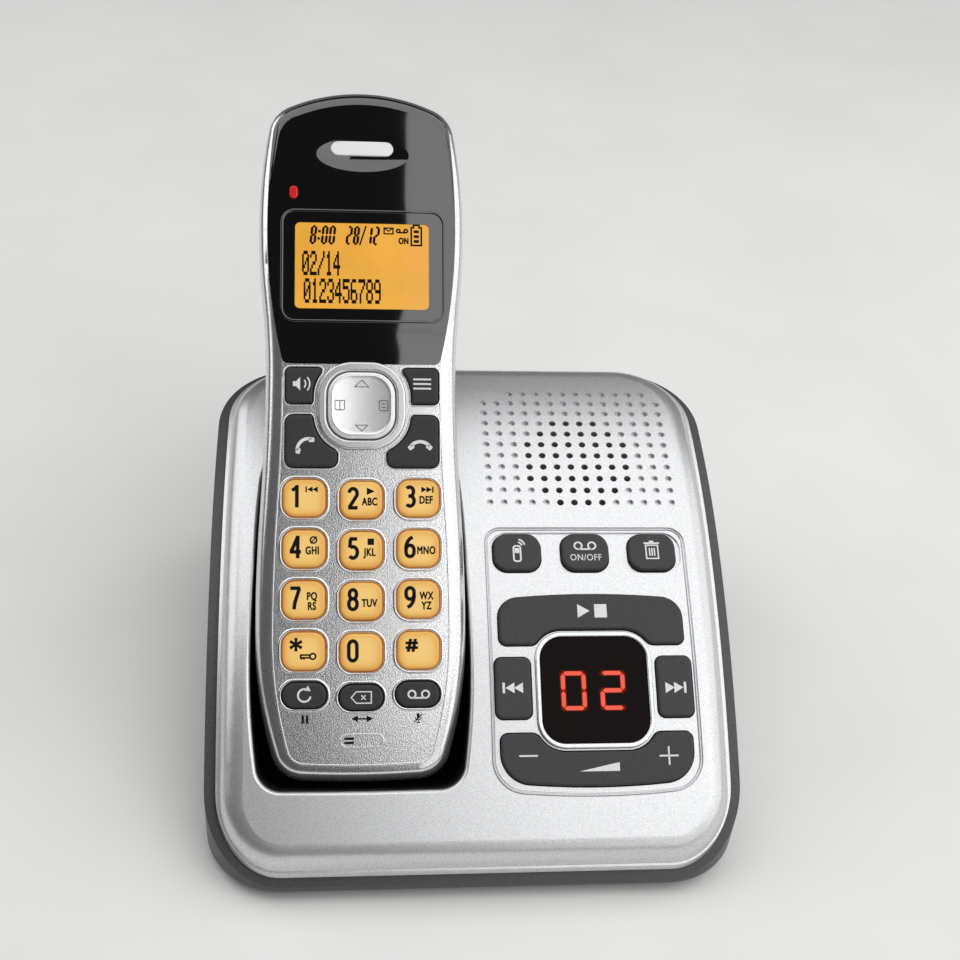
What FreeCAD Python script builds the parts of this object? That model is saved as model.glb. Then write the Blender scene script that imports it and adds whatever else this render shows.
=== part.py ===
import FreeCAD, Part
import math
import os
from FreeCAD import Placement, Rotation, Vector

# Answering machine: a wedge-shaped base with a message panel and a cradle, and the cordless
# handset that leans back in the cradle.  Millimetres, +X right, +Y to the rear, +Z up.
# The base is laid out from a point on its top surface at the front row of the speaker grille;
# "run" is the distance along that surface, rearwards, and "depth" is measured square to it.

# base, driving dimensions
coverHalfWidth = 59.65       # silver top cover, half its width
coverCentreX = 0.35
coverFront = -73.6           # front and rear walls of the cover
coverRear = 47.5
sideBow = 0.6                # how far the long sides bow outwards
frontCornerRadius = 14.5
rearCornerRadius = 19.0
tableHeight = -54.7          # table, below the datum point
frontArcRadius = 268.0       # the top surface is two tangent arcs
rearArcRadius = 166.0
arcJointRun = -10.0
arcJointSlope = 22.3         # degrees
pillowRadius = 6.0           # rounded shoulder of the cover
rimDepth = 4.0               # the shoulder ends at a thin rim
rimThickness = 1.2
rimReach = 0.4
coverWall = 2.4
flangeDepth = 5.8            # top of the lower housing's flange
flangeReach = 3.1            # flange beyond the cover at the sides and rear
flangeFrontReach = 1.7
housingWall = 2.0
housingFootRadius = 3.0      # rounded lower edge of the housing
footHeight = 1.2

# handset, driving dimensions
handsetLean = 44.0           # face angle above horizontal
handsetDatum = Vector(-26.41, -24.17, -1.08)   # centre of the number keys, on the face
handsetThickness = 24.0
handsetTop = 116.1           # heights up the handset are from its datum
headCorner = 110.2
headHeight, headHalfWidth = 82.0, 24.35
waistHeight, waistHalfWidth = 47.0, 22.5
gripHeight, gripHalfWidth = -14.0, 24.5
tailCorner = -46.9
handsetBottom = -47.8
headArcRadius = 141.0        # the sides curve in above the head's widest point
tailArcRadius = 100.0        # and below the grip
headCornerRadius = 8.5
tailCornerRadius = 8.0
partingDepth = 10.0          # front and back shells meet here, below the face
faceFillet = 3.8
backFillet = 6.0
shellWall = 2.0
faceMargin = 0.5             # how far cutting tools reach above the face

# gloss window over the upper face
lensDepth = 1.5
lensHalfWidth = 22.25        # at headHeight
lensTopMargin = 1.4
lensHeadCorner = 108.9
lensFoot = 49.4
lensHeadArcRadius = 220.0
lensFootArcRadius = 138.0
scoopWidth, scoopHeight, scoopDepth = 22.0, 8.4, 0.7   # dish that the earpiece slot stands in
scoopX, scoopV = 0.2, 100.0

# cradle
cradleWidest, cradleHalfWidth = -20.0, 25.6
cradleOpenEnd = 60.0         # the outline runs out above the top surface
cradleFrontWall = -49.4      # along the handset, from its datum
cradleSideRadius = 600.0     # the sides draw in towards the handset's waist
cradleTailRadius = 166.0     # and towards the front wall
cradleFrontBow = 0.3
cradleCornerRadius = 6.0
cradleFloorRadius = 5.5
cradleClearance = 0.15
cradleWall = 1.8
cradleLip = 0.7              # rounded edge of the cover round the cradle
contactDepth = -15.8         # charge contacts, below the handset's face
contactSpacing = 16.0

# keys
numberKeyWidth = 9.7
numberKeyHeight = 8.55
numberKeyPitchX = 13.2
numberKeyPitchY = 11.76
middleColumnDrop = 0.42
keyProud = 0.9
pressClearance = 0.5         # gap between a base key's flange and the cover
rockerClearance = 0.9
keyGap = 0.3
flangeWidth = 0.7
flangeThickness = 0.8
doorFoot = 44.5              # battery door, up the handset
doorTop = 91.5
navCentre = 39.4             # up the handset, from its datum
navRingSize = 20.7
navKeySize = 15.7

# message panel, across the base and along its top surface
panelCentreX = 28.1
displayRun = -47.9
displayWidth = 25.4
displayHeight = 25.2
displayCorner = 5.4
beadWidth, beadDepth = 1.0, 0.5

# speaker grille: square pitch, open over the speaker cone and blind round it
grillePitch = 3.5
grilleLeft = 5.47
grilleColumns, grilleRows = 14, 11
grilleHoleRadius = 0.85
grilleDimpleDepth = 0.9
grilleOpenRadius = 13.6
speakerX, speakerRun = 28.22, 12.25

X, Y, Z = Vector(1, 0, 0), Vector(0, 1, 0), Vector(0, 0, 1)


# ---------------------------------------------------------------- top surface of the base
def slopeAt(run):
    """Slope of the top surface in radians."""
    radius = frontArcRadius if run < arcJointRun else rearArcRadius
    return math.radians(arcJointSlope) + (arcJointRun - run) / radius


def normalFor(slope):
    return Vector(0, -math.sin(slope), math.cos(slope))


rearCentre = normalFor(slopeAt(0)) * -rearArcRadius
jointNormal = normalFor(math.radians(arcJointSlope))
frontCentre = rearCentre + jointNormal * (rearArcRadius - frontArcRadius)


def surfacePoint(run, depth=0.0):
    centre, radius = (frontCentre, frontArcRadius) if run < arcJointRun else (rearCentre, rearArcRadius)
    return centre + normalFor(slopeAt(run)) * (radius - depth)


def surfaceFrame(x, run):
    """Local X across, local Y up the slope, local Z out of the top surface."""
    return Placement(surfacePoint(run) + X * x, Rotation(X, math.degrees(slopeAt(run))))


handsetFrame = Placement(handsetDatum, Rotation(X, handsetLean))


def underSurface(depth, reach=80.0, floor=tableHeight - 5.0):
    """Everything below the top surface by at least depth, as one prism across the base."""
    runs = [-130.0, (-130.0 + arcJointRun) / 2, arcJointRun, (arcJointRun + 85.0) / 2, 85.0]
    p = [surfacePoint(run, depth) for run in runs]
    low = [Vector(0, p[4].y, floor), Vector(0, p[0].y, floor)]
    edges = [Part.Arc(p[0], p[1], p[2]).toShape(), Part.Arc(p[2], p[3], p[4]).toShape(),
             Part.makeLine(p[4], low[0]), Part.makeLine(low[0], low[1]), Part.makeLine(low[1], p[0])]
    profile = Part.Face(Part.Wire(edges))
    profile.translate(X * -reach)
    return profile.extrude(X * 2 * reach)


# ---------------------------------------------------------------- outlines and small helpers
def filletWhere(shape, radius, test):
    return shape.makeFillet(radius, [edge for edge in shape.Edges if test(edge)])


def middle(edge):
    return edge.valueAt((edge.FirstParameter + edge.LastParameter) / 2)


def isUpright(edge):
    ends = [vertex.Point for vertex in edge.Vertexes]
    return len(ends) == 2 and (ends[0] - ends[1]).cross(Z).Length < 1e-6


def liesAt(height):
    return lambda edge: all(abs(edge.valueAt(t).z - height) < 1e-4
                            for t in (edge.FirstParameter, (edge.FirstParameter + edge.LastParameter) / 2))


def roundedRect(width, height, radius, centre=(0, 0)):
    """Face in the XY plane."""
    w, h = width / 2, height / 2
    plate = Part.makeBox(width, height, 1, Vector(centre[0] - w, centre[1] - h, 0))
    plate = filletWhere(plate, radius, isUpright)
    return [face for face in plate.Faces if face.BoundBox.ZMax < 1e-6][0]


def prism(face, low, high):
    solid = face.copy()
    solid.translate(Z * low)
    return solid.extrude(Z * (high - low))


def grown(face, amount):
    return face.makeOffset2D(amount)


def placed(shape, frame):
    shape = shape.copy()
    shape.Placement = frame.multiply(shape.Placement)
    return shape


def basePlan(grow, frontGrow, low, high):
    """Upright prism on the plan of the base: bowed long sides and four corner radii."""
    left, right = coverCentreX - coverHalfWidth - grow, coverCentreX + coverHalfWidth + grow
    front, rear = coverFront - frontGrow, coverRear + grow
    mid = (front + rear) / 2
    corner = [Vector(right - sideBow, front, low), Vector(right - sideBow, rear, low),
              Vector(left + sideBow, rear, low), Vector(left + sideBow, front, low)]
    edges = [Part.Arc(corner[0], Vector(right, mid, low), corner[1]).toShape(),
             Part.makeLine(corner[1], corner[2]),
             Part.Arc(corner[2], Vector(left, mid, low), corner[3]).toShape(),
             Part.makeLine(corner[3], corner[0])]
    block = Part.Face(Part.Wire(edges)).extrude(Z * (high - low))
    block = filletWhere(block, frontCornerRadius + grow, lambda e: isUpright(e) and middle(e).y < mid)
    return filletWhere(block, rearCornerRadius + grow, lambda e: isUpright(e) and middle(e).y > mid)


# ---------------------------------------------------------------- message panel outlines
def displayFace(grow=0.0):
    return roundedRect(displayWidth + 2 * grow, displayHeight + 2 * grow, displayCorner + grow)


def archedKey(width, height, bulge, farRadius, nearRadius):
    """Bar key with its far edge (at +Y) bulged outwards; its near edge lies on Y = 0."""
    w = width / 2
    shoulder = height - bulge
    corner = [Vector(-w, 0, 0), Vector(w, 0, 0), Vector(w, shoulder, 0), Vector(-w, shoulder, 0)]
    edges = [Part.makeLine(corner[0], corner[1]), Part.makeLine(corner[1], corner[2]),
             Part.Arc(corner[2], Vector(0, height, 0), corner[3]).toShape(),
             Part.makeLine(corner[3], corner[0])]
    bar = Part.Face(Part.Wire(edges)).extrude(Z)
    bar = filletWhere(bar, farRadius, lambda e: isUpright(e) and middle(e).y > 0.1)
    return filletWhere(bar, nearRadius, lambda e: isUpright(e) and middle(e).y < 0.1)


def cutByDisplay(bar, offset, softening):
    """Cuts the display's surround out of a bar key and softens the two new corners."""
    bar = bar.cut(prism(displayFace(1.8), -1, 2).translated(Y * offset))
    inner = lambda e: isUpright(e) and abs(middle(e).y) < 0.05 and abs(middle(e).x) < displayWidth / 2 + 2.5
    bar = filletWhere(bar, softening, inner)
    return [face for face in bar.Faces if face.BoundBox.ZMax < 1e-6][0]


playWidth, playHeight, playNear = 44.2, 12.4, 10.7       # near edge to the display's centre
volumeWidth, volumeHeight, volumeNear = 45.0, 12.2, 10.1


def playFace():
    return cutByDisplay(archedKey(playWidth, playHeight, 1.2, 5.0, 1.8), -playNear, 2.4)


def volumeFace():
    face = cutByDisplay(archedKey(volumeWidth, volumeHeight, 1.4, 7.0, 1.8), -volumeNear, 2.4)
    return face.rotated(Vector(), Z, 180)


smallKeyFace = lambda: roundedRect(11.5, 9.6, 3.4)
skipKeyFace = lambda: roundedRect(8.4, 14.4, 1.7)

baseKeys = {      # name: outline, x, run
    "find_button": (smallKeyFace, 11.3, -13.8),
    "answer_button": (smallKeyFace, 27.9, -13.8),
    "erase_button": (smallKeyFace, 44.4, -13.8),
    "play_stop_button": (playFace, panelCentreX, displayRun + playNear),
    "skip_back_button": (skipKeyFace, 8.9, -47.4),
    "skip_forward_button": (skipKeyFace, 47.2, -47.4),
    "volume_rocker": (volumeFace, panelCentreX, displayRun - volumeNear)}


def keyCap(face, proud, under, edgeRadius):
    """Cap with a rounded top edge and a flange that stops it behind the wall."""
    cap = filletWhere(prism(face, -under - flangeThickness, proud), edgeRadius, liesAt(proud))
    return cap.fuse(prism(grown(face, flangeWidth), -under - flangeThickness, -under)).removeSplitter()


# ---------------------------------------------------------------- cradle
def cradleFace(grow=0.0):
    """Cradle outline in the handset's frame: widest beside the lower keys, open at its head end."""
    sides = [sideArc(cradleHalfWidth - cradleSideRadius, cradleWidest, cradleSideRadius + grow,
                     cradleOpenEnd, cradleWidest),
             sideArc(cradleHalfWidth - cradleTailRadius, cradleWidest, cradleTailRadius + grow,
                     cradleWidest, cradleFrontWall + cradleFrontBow - grow)]
    return symmetricFace(sides, cradleOpenEnd + 1, cradleFrontWall - grow, 2.0, cradleCornerRadius + grow)


def cradleSpace(grow=0.0):
    low = -handsetThickness - cradleClearance - grow
    space = filletWhere(prism(cradleFace(grow), low, 45), cradleFloorRadius + grow, liesAt(low))
    return placed(space, handsetFrame)


def cradleWell():
    block = cradleSpace(cradleWall).common(underSurface(coverWall + 0.05))
    floorHeight = tableHeight + footHeight + housingWall + 0.1
    above = Part.makeBox(160, 160, 100, Vector(-80, -90, floorHeight))
    slot = Part.makeBox(4.4, 6, 8.4, Vector(-2.2, cradleFrontWall - 3, contactDepth - 4.2))
    slots = [placed(slot.translated(X * side * contactSpacing / 2), handsetFrame) for side in (-1, 1)]
    return block.common(above).cut(cradleSpace()).cut(Part.makeCompound(slots))


def chargeSpring(x):
    """Folded leaf: a foot behind the well's end wall and a crown that the handset's pad meets."""
    y, z = cradleFrontWall, contactDepth
    points = [(y - 2.2, z - 4.0), (y + 0.1, z - 2.4), (y + 1.1, z), (y + 0.1, z + 2.4), (y - 2.2, z + 4.0)]
    back = [(py - 0.45, pz) for py, pz in reversed(points)]
    outline = Part.makePolygon([Vector(x - 2, py, pz) for py, pz in points + back + points[:1]])
    return placed(Part.Face(outline).extrude(X * 4), handsetFrame)


# ---------------------------------------------------------------- base pieces
def depthOf(point):
    """Depth of a point below the top surface, square to it."""
    joint = surfacePoint(arcJointRun)
    centre, radius = (frontCentre, frontArcRadius) if point.y < joint.y else (rearCentre, rearArcRadius)
    return radius - math.hypot(point.y - centre.y, point.z - centre.z)


def onShoulder(edge):
    point = middle(edge)
    return abs(depthOf(point)) < 1e-3 and abs(point.y - surfacePoint(arcJointRun).y) > 1e-3


def skinCut(tool, depth):
    """The part of an upright tool that reaches no deeper than depth below the top surface."""
    return tool.cut(underSurface(depth))


def panelGroove():
    """Bead line round the message panel."""
    frame = surfaceFrame(panelCentreX, -39.6)
    outline = archedKey(49.6, 65.6, 1.6, 8.0, 4.2)
    outline = [face for face in outline.Faces if face.BoundBox.ZMax < 1e-6][0].rotated(Vector(), Z, 180)
    outline = outline.translated(Y * 32.6)
    ring = prism(outline, -8, 12).cut(prism(grown(outline, -beadWidth), -9, 13))
    return skinCut(placed(ring, frame), beadDepth)


def keyStrip():
    strip = prism(roundedRect(47.0, 10.8, 4.4), -4, 4)
    return skinCut(placed(strip, surfaceFrame(panelCentreX, -13.8)), 0.5)


def onCradleEdge(edge):
    """Edges of the top surface along the cradle's sides and front."""
    point = middle(edge)
    local = handsetFrame.inverse().multVec(point)
    inside = abs(local.x) < cradleHalfWidth + 0.1 and cradleFrontWall - 0.1 < local.y < 30
    return inside and abs(depthOf(point)) < 1e-3


def grilleHoles():
    """Square grid of holes, square to the surface; its rear row is shorter."""
    holes = []
    for row in range(grilleRows):
        for column in range(grilleColumns):
            if row == grilleRows - 1 and not 2 <= column <= grilleColumns - 2:
                continue
            x, run = grilleLeft + column * grillePitch, row * grillePitch
            isOpen = math.hypot(x - speakerX, run - speakerRun) < grilleOpenRadius
            depth = coverWall + 1 if isOpen else grilleDimpleDepth
            hole = Part.makeCylinder(grilleHoleRadius, depth + 0.5, Vector(0, 0, -depth))
            holes.append(placed(hole, surfaceFrame(x, run)))
    return Part.makeCompound(holes)


def topCover():
    low, high = tableHeight, 60.0
    pillow = basePlan(0, 0, low, high).common(underSurface(0))
    pillow = filletWhere(pillow, pillowRadius, onShoulder)
    pillow = pillow.cut(underSurface(rimDepth))
    rim = basePlan(rimReach, rimReach, low, high).common(underSurface(rimDepth))
    rim = rim.cut(underSurface(rimDepth + rimThickness))
    hollow = basePlan(-4.0, -4.0, low, high).common(underSurface(coverWall))
    cover = pillow.fuse(rim).cut(hollow).cut(cradleSpace())
    cover = filletWhere(cover, cradleLip, onCradleEdge)
    openings = [placed(prism(grown(face(), keyGap), -6, 4), surfaceFrame(x, run))
                for face, x, run in baseKeys.values()]
    openings.append(placed(prism(displayFace(1.2), -6, 4), surfaceFrame(panelCentreX, displayRun)))
    return cover.cut(Part.makeCompound(openings)).cut(panelGroove()).cut(keyStrip()).cut(grilleHoles())


def bottomHousing():
    low, high = tableHeight + footHeight, 60.0
    rim = basePlan(-0.8, -0.8, low, high).common(underSurface(rimDepth + rimThickness + 0.05))
    flange = basePlan(flangeReach, flangeFrontReach, low, high)
    flange = filletWhere(flange, housingFootRadius, lambda e: abs(middle(e).z - low) < 1e-6)
    flange = flange.common(underSurface(flangeDepth))
    upper = basePlan(-4.0, -4.0, low + housingWall, high)
    lower = basePlan(flangeReach - housingWall, flangeFrontReach - housingWall, low + housingWall, high)
    lower = lower.common(underSurface(flangeDepth + housingWall))
    housing = rim.fuse(flange).cut(upper).cut(lower)
    vents = [Part.makeBox(1.8, 18, 8, Vector(coverCentreX + 5 * i - 0.9, 6, low - 1)) for i in range(-4, 5)]
    return housing.cut(Part.makeCompound([powerBore(), lineOpening()] + vents))


powerJackX, lineJackX, jackHeight = 29.0, 10.0, -44.0
rearWall = coverRear + flangeReach
powerBoreRadius, powerBoreDepth = 3.1, 9.5
lineWidth, lineHeight, lineDepth = 9.8, 7.0, 11.0


def powerBore():
    mouth = Vector(powerJackX, rearWall + 0.5, jackHeight)
    return Part.makeCylinder(powerBoreRadius, powerBoreDepth, mouth, Y * -1)


def lineOpening():
    """Six-way modular jack mouth with its latch notch."""
    corner = Vector(lineJackX - lineWidth / 2, rearWall - lineDepth, jackHeight - lineHeight / 2)
    mouth = Part.makeBox(lineWidth, lineDepth + 0.5, lineHeight, corner)
    notch = Part.makeBox(4.2, lineDepth + 0.5, 1.6, corner + Vector((lineWidth - 4.2) / 2, 0, -1.6))
    return mouth.fuse(notch)


def jackBody(x, width, height, depth, hole):
    inside = rearWall - housingWall
    body = Part.makeBox(width, depth, height, Vector(x - width / 2, inside - depth, jackHeight - height / 2))
    return body.cut(hole)


def rubberFeet():
    feet = []
    for x, y in ((-46, -58), (46, -58), (-46, 32), (46, 32)):
        foot = Part.makeCylinder(5.0, footHeight, Vector(x + coverCentreX, y, tableHeight))
        feet.append(filletWhere(foot, 0.5, lambda e: abs(middle(e).z - tableHeight) < 1e-6 and e.Closed))
    return Part.makeCompound(feet)


def displayFrame():
    ring = prism(displayFace(1.15), -2.2, 0.7).cut(prism(displayFace(0.0), -3, 2))
    ring = filletWhere(ring, 0.35, liesAt(0.7))
    return placed(ring, surfaceFrame(panelCentreX, displayRun))


def displayWindow():
    lens = prism(displayFace(-0.05), -1.8, 0.25)
    lens = filletWhere(lens, 0.2, liesAt(0.25))
    return placed(lens, surfaceFrame(panelCentreX, displayRun))


def displayModule():
    body = prism(roundedRect(19.0, 14.0, 0.8), -7.4, -2.6)
    return placed(body, surfaceFrame(panelCentreX, displayRun))


def baseBoard():
    """Circuit board under the keys, with a switch under each key."""
    frame = surfaceFrame(panelCentreX, -40.0)
    board = prism(roundedRect(50.0, 56.0, 2.0), -9.4, -7.8)
    switches = [(-16.8, 25.4), (0, 25.4), (16.3, 25.4), (0, 14.0),
                (-19.2, -7.4), (19.1, -7.4), (-17, -22), (17, -22)]
    blocks = [Part.makeBox(6, 4, 1.6, Vector(x - 3, y - 2, -7.8)) for x, y in switches]
    return placed(board.fuse(blocks), frame)


def baseSpeaker():
    """Frame, cone basket and magnet turned about one axis."""
    profile = [(0, -4.2), (17.5, -4.2), (18.5, -4.8), (18.5, -6.0),
               (12.0, -9.2), (9.0, -9.4), (9.0, -13.4), (0, -13.4)]
    points = [Vector(r, 0, z) for r, z in profile]
    face = Part.Face(Part.makePolygon(points + points[:1]))
    return placed(face.revolve(Vector(), Z, 360), surfaceFrame(speakerX, speakerRun))


def basePieces():
    pieces = {
        "base_top_cover": topCover(), "base_bottom_housing": bottomHousing(), "cradle_well": cradleWell(),
        "charge_spring_left": chargeSpring(-contactSpacing / 2),
        "charge_spring_right": chargeSpring(contactSpacing / 2),
        "display_frame": displayFrame(), "display_window": displayWindow(), "display_module": displayModule(),
        "base_circuit_board": baseBoard(), "base_speaker": baseSpeaker(), "rubber_feet": rubberFeet(),
        "power_jack": jackBody(powerJackX, 9, 9, 9, powerBore()),
        "line_jack": jackBody(lineJackX, 13, 12, 11, lineOpening())}
    for name, (face, x, run) in baseKeys.items():
        under = coverWall + (rockerClearance if name == "volume_rocker" else pressClearance)
        cap = keyCap(face(), keyProud, under, 0.6)
        pieces[name] = placed(cap, surfaceFrame(x, run))
    return pieces


# ---------------------------------------------------------------- handset outlines
def sideArc(centreX, centreV, radius, fromV, toV):
    """Three points of an arc on the right-hand side; a negative radius makes it hollow."""
    reach = lambda v: centreX + math.copysign(math.sqrt(radius ** 2 - (v - centreV) ** 2), radius)
    return [Vector(reach(v), v, 0) for v in (fromV, (fromV + toV) / 2, toV)]


def symmetricFace(sides, topApex, bottomApex, topRadius, bottomRadius):
    """Outline from its right-hand arcs, listed downwards, closed by an arc at each end."""
    flip = lambda p: Vector(-p.x, p.y, 0)
    isCorner = lambda e, p: isUpright(e) and math.hypot(abs(middle(e).x) - p.x, middle(e).y - p.y) < 0.01
    right = [Part.Arc(*points).toShape() for points in sides]
    left = [Part.Arc(*[flip(p) for p in reversed(points)]).toShape() for points in reversed(sides)]
    start, end = sides[0][0], sides[-1][-1]
    bottom = Part.Arc(end, Vector(0, bottomApex, 0), flip(end)).toShape()
    top = Part.Arc(flip(start), Vector(0, topApex, 0), start).toShape()
    block = Part.Face(Part.Wire(right + [bottom] + left + [top])).extrude(Z)
    block = filletWhere(block, topRadius, lambda e: isCorner(e, start))
    block = filletWhere(block, bottomRadius, lambda e: isCorner(e, end))
    return [face for face in block.Faces if face.BoundBox.ZMax < 1e-6][0]


def easedSides(upper, lower, inset):
    """S-curve of two equal arcs between two points where the side runs straight up the handset."""
    (x0, v0), (x1, v1) = upper, lower
    radius = ((x1 - x0) ** 2 + (v1 - v0) ** 2) / (4 * abs(x1 - x0))
    sign = 1 if x0 > x1 else -1
    half = (v0 + v1) / 2 - sign * (v1 - v0) / 2 * inset / radius
    return [sideArc(x0 - sign * radius, v0, sign * radius - inset, v0, half),
            sideArc(x1 + sign * radius, v1, -sign * radius - inset, half, v1)]


def handsetFace(inset=0.0):
    """Tapered head, waist above the number keys, widest beside the lower ones, narrow bottom end."""
    head, waist = (headHalfWidth, headHeight), (waistHalfWidth, waistHeight)
    grip = (gripHalfWidth, gripHeight)
    sides = [sideArc(headHalfWidth - headArcRadius, headHeight, headArcRadius - inset,
                     headCorner - inset, headHeight)]
    sides += easedSides(head, waist, inset) + easedSides(waist, grip, inset)
    sides.append(sideArc(gripHalfWidth - tailArcRadius, gripHeight, tailArcRadius - inset,
                         gripHeight, tailCorner + inset))
    return symmetricFace(sides, handsetTop - inset, handsetBottom + inset,
                         headCornerRadius - inset, tailCornerRadius - inset)


def lensFace(inset=0.0):
    """Gloss window over the upper face, with a straight foot above the keys."""
    sides = [sideArc(lensHalfWidth - lensHeadArcRadius, headHeight, lensHeadArcRadius - inset,
                     lensHeadCorner - inset, headHeight),
             sideArc(lensHalfWidth - lensFootArcRadius, headHeight, lensFootArcRadius - inset,
                     headHeight, lensFoot + inset)]
    return symmetricFace(sides, handsetTop - lensTopMargin - inset, lensFoot - 0.05 + inset,
                         7.6 - inset, 1.6 - inset)


def earpieceScoop():
    """Shallow dish, longer across the handset than along it: the outside of a large ring."""
    across = (scoopWidth ** 2 / 4 + scoopDepth ** 2) / (2 * scoopDepth)
    along = (scoopHeight ** 2 / 4 + scoopDepth ** 2) / (2 * scoopDepth)
    return Part.makeTorus(across - along, along, Vector(scoopX, scoopV, across - scoopDepth), Y)


def navRingFace(grow=0.0):
    return roundedRect(navRingSize + 2 * grow, navRingSize + 2 * grow, 8.2 + grow, (0, navCentre))


def navKeyFace(grow=0.0):
    return roundedRect(navKeySize + 2 * grow, navKeySize + 2 * grow, 5.4 + grow, (0, navCentre))


def besideRing(x, low, high, width, radius):
    """Key outline at the left of the navigation ring, hollowed to follow it."""
    block = prism(roundedRect(width, high - low, radius, (x + width / 2, (low + high) / 2)), 0, 1)
    block = block.cut(prism(navRingFace(1.1), -1, 2))
    return [face for face in block.Faces if face.BoundBox.ZMax < 1e-6][0]


def mirrored(face):
    return face.mirror(Vector(), X)


upperKeyFace = lambda: besideRing(-17.7, 39.9, 48.3, 8.6, 1.2)
lowerKeyFace = lambda: besideRing(-17.7, 24.9, 37.1, 12.0, 1.8)

handsetKeys = {      # name: outline function, x, height up the handset
    "speaker_key": (upperKeyFace, 0, 0),
    "menu_key": (lambda: mirrored(upperKeyFace()), 0.3, 0),
    "talk_key": (lowerKeyFace, 0, 0),
    "end_key": (lambda: mirrored(lowerKeyFace()), 0.3, 0)}

for index, label in enumerate(("1", "2", "3", "4", "5", "6", "7", "8", "9", "star", "0", "hash")):
    column, row = index % 3 - 1, index // 3
    drop = middleColumnDrop if column == 0 else 0
    handsetKeys["key_" + label] = (lambda: roundedRect(numberKeyWidth, numberKeyHeight, 2.8),
                                   column * numberKeyPitchX, (1.5 - row) * numberKeyPitchY - drop)

for label, column in (("redial", -1), ("clear", 0), ("message", 1)):
    handsetKeys[label + "_key"] = (lambda: roundedRect(10.0, 5.7, 2.8), column * 13.0,
                                   -27.7 - (0.6 if column == 0 else 0))


# ---------------------------------------------------------------- handset pieces
def handsetBody():
    """Whole outer form: outline extruded, thinner towards the earpiece, edges rounded."""
    body = prism(handsetFace(), -handsetThickness, 0)
    t = -handsetThickness
    start = doorTop + 1.5
    p = [Vector(0, start, t), Vector(0, 106, t + 1.5), Vector(0, 120, t + 5.5), Vector(0, 120, t - 1),
         Vector(0, start, t - 1)]
    edges = [Part.Arc(p[0], p[1], p[2]).toShape(), Part.makeLine(p[2], p[3]), Part.makeLine(p[3], p[4]),
             Part.makeLine(p[4], p[0])]
    heel = Part.Face(Part.Wire(edges))
    heel.translate(X * -40)
    body = body.cut(heel.extrude(X * 80))
    body = filletWhere(body, faceFillet, liesAt(0.0))
    onFold = lambda p: abs(p.x) + abs(p.y - start) < 5
    onBack = lambda e: middle(e).z < t + 7.5 and not isUpright(e) and not onFold(middle(e))
    return filletWhere(body, backFillet, onBack)


earpieceFace = lambda grow=0.0: roundedRect(15.0 + 2 * grow, 3.6 + 2 * grow, 1.79 + grow, (0, 101.6))
lampFace = lambda grow=0.0: roundedRect(1.9 + 2 * grow, 3.0 + 2 * grow, 0.9 + grow, (-16.1, 90.5))
lcdFace = lambda grow=0.0: roundedRect(31.6 + 2 * grow, 20.6 + 2 * grow, 1.2 + grow, (0.1, 72.9))
doorFace = lambda grow=0.0: roundedRect(30.0 + 2 * grow, doorTop - doorFoot + 2 * grow, 3.0 + grow,
                                        (0, (doorTop + doorFoot) / 2))


def frontShell(body):
    shell = body.common(Part.makeBox(120, 240, partingDepth + 1, Vector(-60, -100, -partingDepth)))
    shell = shell.cut(prism(handsetFace(shellWall), -partingDepth - 1, -shellWall))
    shell = shell.cut(prism(lensFace(-0.05), -lensDepth - 0.05, faceMargin))
    holes = [prism(grown(face(), keyGap), -6, 4).translated(Vector(x, v, 0))
             for face, x, v in handsetKeys.values()]
    holes += [prism(navRingFace(0.05), -6, 4), prism(lcdFace(-0.5), -6, 4), prism(earpieceFace(-0.6), -6, 4)]
    holes += [prism(lampFace(0.05), -6, 4), prism(roundedRect(9.4, 2.5, 1.24, (0.2, -38.2)), -0.5, 4),
              prism(roundedRect(2.2, 1.5, 0.3, (-2.75, -38.2)), -6, 4)]
    return shell.cut(Part.makeCompound(holes))


def backShell(body):
    low = -handsetThickness
    shell = body.common(Part.makeBox(120, 240, 30, Vector(-60, -100, -partingDepth - 30.05)))
    shell = shell.cut(prism(handsetFace(shellWall), low + 4.5, 0))
    bay = prism(doorFace(-1.2), low - 1, 0)
    seat = prism(doorFace(0.15), low - 1, low + 2.0)
    recesses = [contactBlock(side, 6.2, 4.2, -1.0, 1.3) for side in (-1, 1)]
    return shell.cut(bay).cut(seat).cut(Part.makeCompound(recesses))


def contactBlock(side, width, height, near, far):
    """Block at a charge contact, between two distances in from the handset's bottom end."""
    corner = Vector((side * contactSpacing - width) / 2, handsetBottom + near, contactDepth - height / 2)
    return Part.makeBox(width, far - near, height, corner)


def batteryDoor(body):
    """Sliding door with ribs for the thumb at its foot."""
    low = -handsetThickness
    door = body.common(prism(doorFace(), low - 1, low + 1.95))
    ribs = [Part.makeCylinder(0.6, 15, Vector(-7.5, doorFoot + 4 + 2 * i, low - 0.2), X) for i in range(4)]
    return door.cut(Part.makeCompound(ribs))


def lens(body):
    block = body.common(prism(lensFace(), -lensDepth, faceMargin))
    block = block.cut(prism(navRingFace(0.1), -6, 4)).cut(prism(lcdFace(0.05), -6, 4))
    block = block.cut(earpieceScoop())
    return block.cut(prism(earpieceFace(0.05), -6, 4)).cut(prism(lampFace(0.05), -6, 4))


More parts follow.
